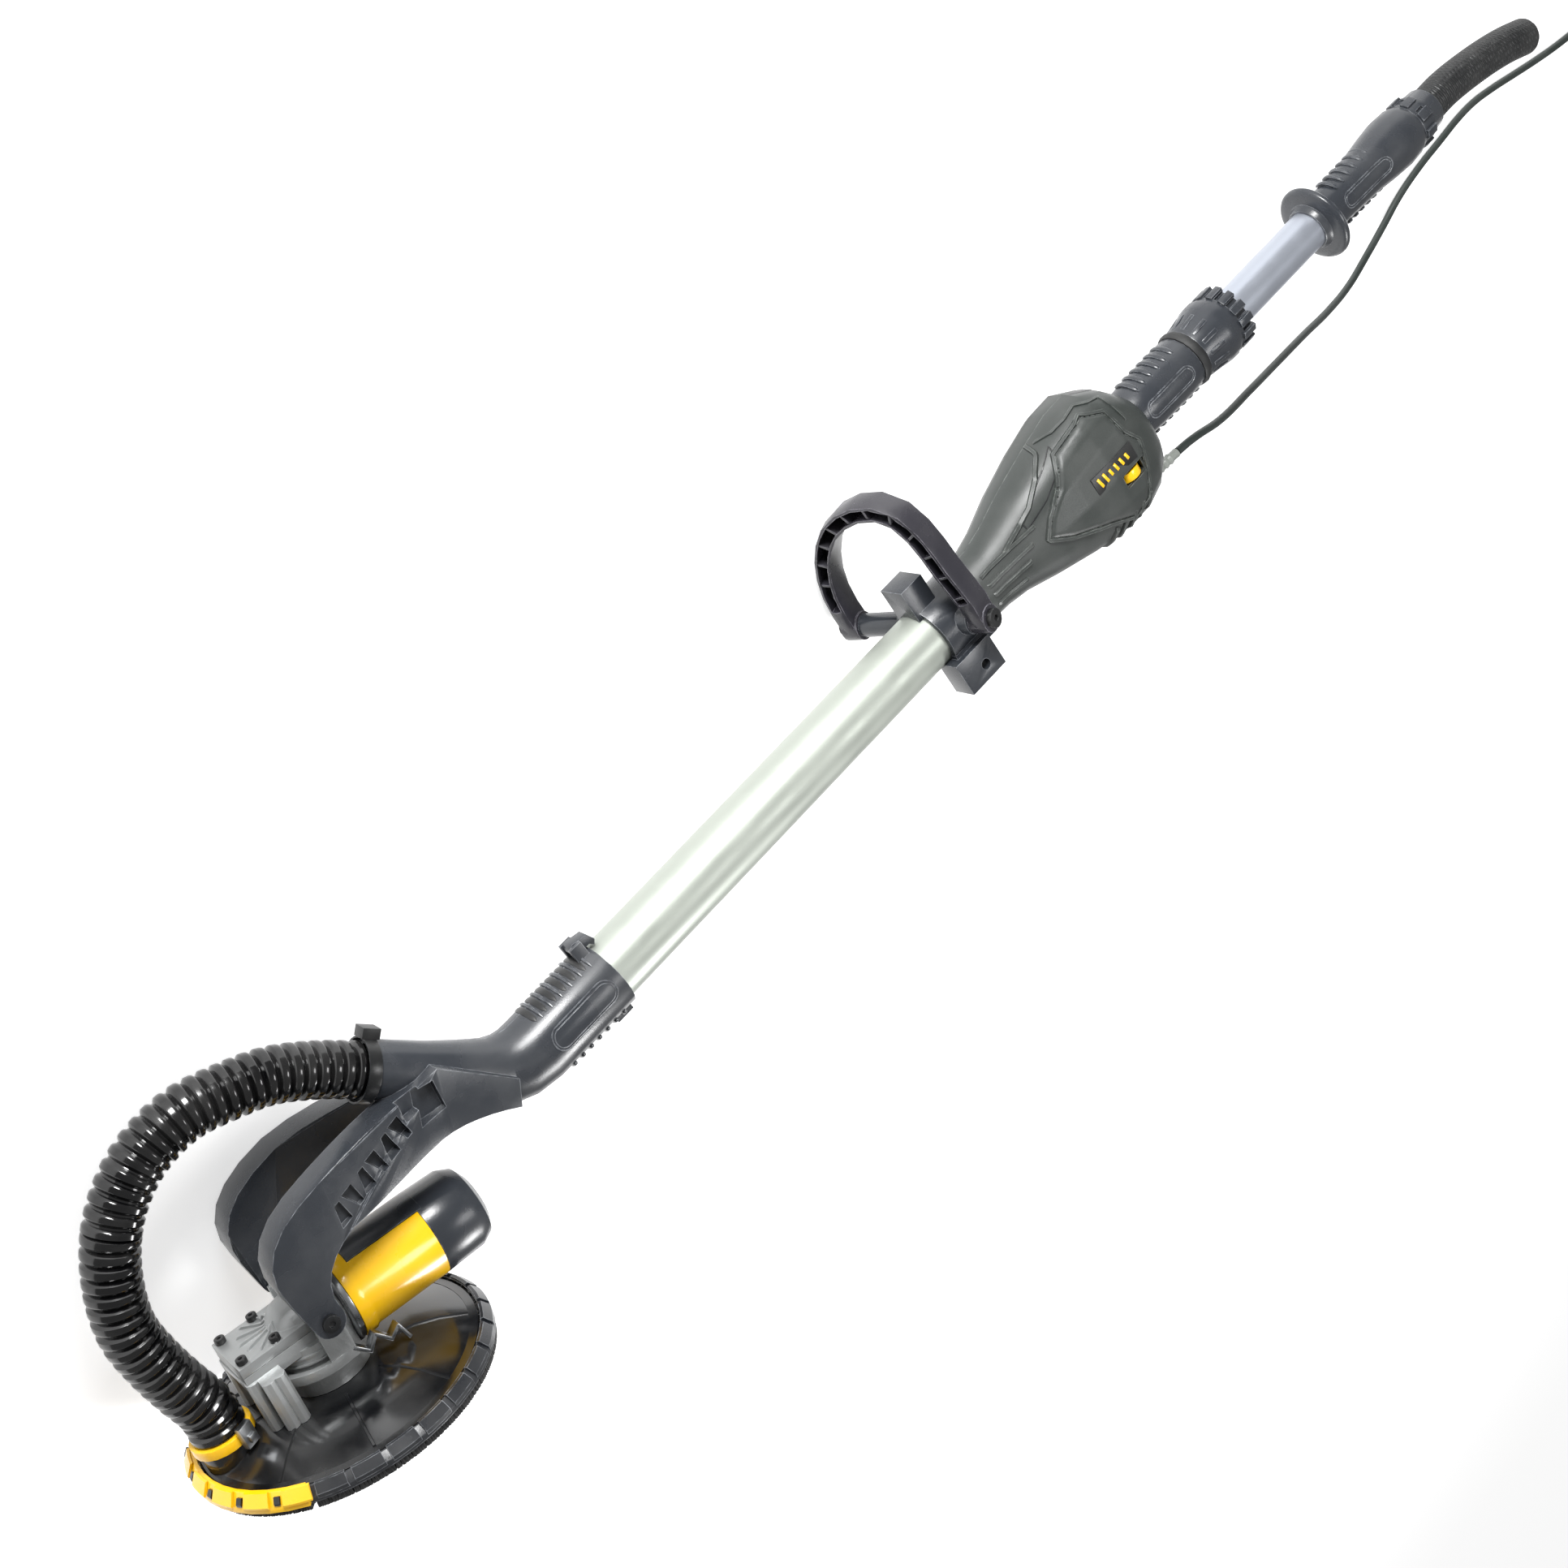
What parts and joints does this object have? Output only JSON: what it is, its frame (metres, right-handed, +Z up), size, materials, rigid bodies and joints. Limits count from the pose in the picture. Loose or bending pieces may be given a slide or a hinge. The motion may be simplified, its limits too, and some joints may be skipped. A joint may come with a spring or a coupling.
{
  "type": "pole drywall sander",
  "caption": "Long-reach pole sander with a floating round sanding head on a fork, suction hose, hinged D-handle, control housing and telescopic rear tube",
  "frame": {"origin": "centre of the footprint of the tool without its cord, on the surface that it lies on", "axes": "+X runs along the pole from the sanding head to the tail, +Z is up off the surface that the tool lies on"},
  "size_m": [2.0811, 0.5667, 0.2272],
  "materials": {
    "anodised": "satin anodised with faint lengthwise drawing lines",
    "bright_tube": "bright satin anodised thin tube",
    "grey_plastic": "dark bluish grey moulded plastic with a fine satin grain",
    "green_plastic": "dark greenish grey moulded plastic",
    "handle_plastic": "dark purplish grey moulded plastic",
    "black_plastic": "black moulded plastic",
    "ring_plastic": "dark grey moulded plastic",
    "shroud_plastic": "glossy black moulded plastic",
    "yellow": "glossy yellow moulded plastic",
    "hose": "glossy black corrugated hose",
    "rubber": "black rubber",
    "cast": "light grey cast metal with a fine grain",
    "steel": "machined steel",
    "bristle": "dense black bristles",
    "abrasive": "abrasive sheet with open holes"
  },
  "bodies": {
    "pole": {"main_tube": "anodised", "handle_clamp": "grey_plastic", "handle_clamp_cap": "grey_plastic", "handle_bolt_near": "steel", "handle_bolt_far": "steel", "housing_near": "green_plastic", "housing_far": "green_plastic", "label_plate": "black_plastic", "speed_board": "black_plastic", "switch_body": "black_plastic", "cord_gland": "rubber", "mid_grip": "grey_plastic", "grip_ring": "rubber", "collet": "black_plastic", "power_cord": "rubber", "cord_coil": "rubber", "power_plug": "rubber"},
    "neck": {"neck_shell_near": "grey_plastic", "neck_shell_far": "grey_plastic", "hose_clamp": "black_plastic", "pivot_pin_near": "steel", "pivot_pin_far": "steel", "front_hose_upper": "hose"},
    "latch": {"neck_latch": "grey_plastic"},
    "handle": {"d_handle": "handle_plastic"},
    "dial": {"speed_dial": "yellow"},
    "switch": {"power_switch": "black_plastic"},
    "collar": {"twist_collar": "grey_plastic"},
    "rear": {"rear_tube": "bright_tube", "hand_guard": "grey_plastic", "rear_grip": "grey_plastic", "hose_cuff": "grey_plastic", "sleeve_hose": "rubber"},
    "gimbal": {"gimbal_ring": "cast", "roll_pin": "steel"},
    "head": {"gearbox_housing": "cast", "gearbox_cover": "cast", "cover_screw_1": "steel", "cover_screw_2": "steel", "cover_screw_3": "steel", "cover_screw_4": "steel", "motor_cover": "yellow", "motor_cap": "black_plastic", "motor_flange": "bright_tube", "stator": "cast", "spindle_bearing": "steel", "shroud": "shroud_plastic", "dust_connector": "yellow", "hose_clip": "bright_tube", "front_hose_lower": "hose"},
    "skirt": {"skirt_ring": "ring_plastic", "bristle_skirt": "bristle"},
    "segment": {"edge_segment": "yellow", "segment_bristles": "bristle"},
    "pad": {"spindle": "steel", "crown_gear": "steel", "backing_pad": "rubber", "sanding_disc": "abrasive"},
    "armature": {"armature": "steel"}
  },
  "joints": [
    {"name": "neck_plug", "type": "slide", "parent": "pole", "child": "neck", "axis": [-0.9998, 0, -0.0203], "range_m": [0, 0.055]},
    {"name": "neck_latch_lift", "type": "hinge", "parent": "neck", "child": "latch", "pos_m": [-0.39445, 0.01405, 0.07579], "axis": [0.0188, -0.374, -0.9273], "range_deg": [-45, 0], "stiffness_Nm_per_rad": 0.15},
    {"name": "handle_tilt", "type": "hinge", "parent": "pole", "child": "handle", "pos_m": [0.00423, -0.01507, 0.09563], "axis": [-0.3016, -0.2561, -0.9184], "range_deg": [-50, 25]},
    {"name": "speed_dial_turn", "type": "hinge", "parent": "pole", "child": "dial", "pos_m": [0.20544, -0.01432, 0.13662], "axis": [0.0076, 0.9274, -0.3739], "range_deg": [0, 270]},
    {"name": "power_rocker", "type": "hinge", "parent": "pole", "child": "switch", "pos_m": [0.22271, 0.02768, 0.08282], "axis": [0.0188, -0.374, -0.9273], "range_deg": [-6, 6]},
    {"name": "collar_twist", "type": "hinge", "parent": "pole", "child": "collar", "pos_m": [0.36616, -0.01378, 0.10245], "axis": [0.9998, 0, 0.0203], "range_deg": [0, 120]},
    {"name": "rear_slide", "type": "slide", "parent": "pole", "child": "rear", "axis": [0.9998, 0, 0.0203], "range_m": [-0.11, 0.25]},
    {"name": "head_pitch", "type": "hinge", "parent": "neck", "child": "gimbal", "pos_m": [-0.7097, -0.02103, 0.08354], "axis": [0.0188, -0.374, -0.9273], "range_deg": [-14, 40], "deforming": ["front_hose_upper", "front_hose_lower"]},
    {"name": "head_roll", "type": "hinge", "parent": "gimbal", "child": "head", "pos_m": [-0.72395, -0.0552, 0.09703], "axis": [0.9741, -0.2023, 0.1014], "range_deg": [-12, 12], "deforming": ["front_hose_lower"]},
    {"name": "skirt_float", "type": "slide", "parent": "head", "child": "skirt", "axis": [0.2255, 0.9051, -0.3605], "range_m": [-0.003, 0.003], "stiffness_N_per_m": 12000},
    {"name": "segment_off", "type": "slide", "parent": "skirt", "child": "segment", "axis": [-0.9625, 0.2642, 0.0612], "range_m": [0, 0.04]},
    {"name": "pad_spin", "type": "hinge", "parent": "head", "child": "pad", "pos_m": [-0.73162, -0.08597, 0.10928], "axis": [0.2255, 0.9051, -0.3605], "continuous": true},
    {"name": "armature_spin", "type": "hinge", "parent": "head", "child": "armature", "pos_m": [-0.66055, -0.04742, 0.09518], "axis": [0.9741, -0.2023, 0.1014], "continuous": true}
  ],
  "couplings": [
    {"joint": "armature_spin", "follows": "pad_spin", "ratio": 6}
  ]
}
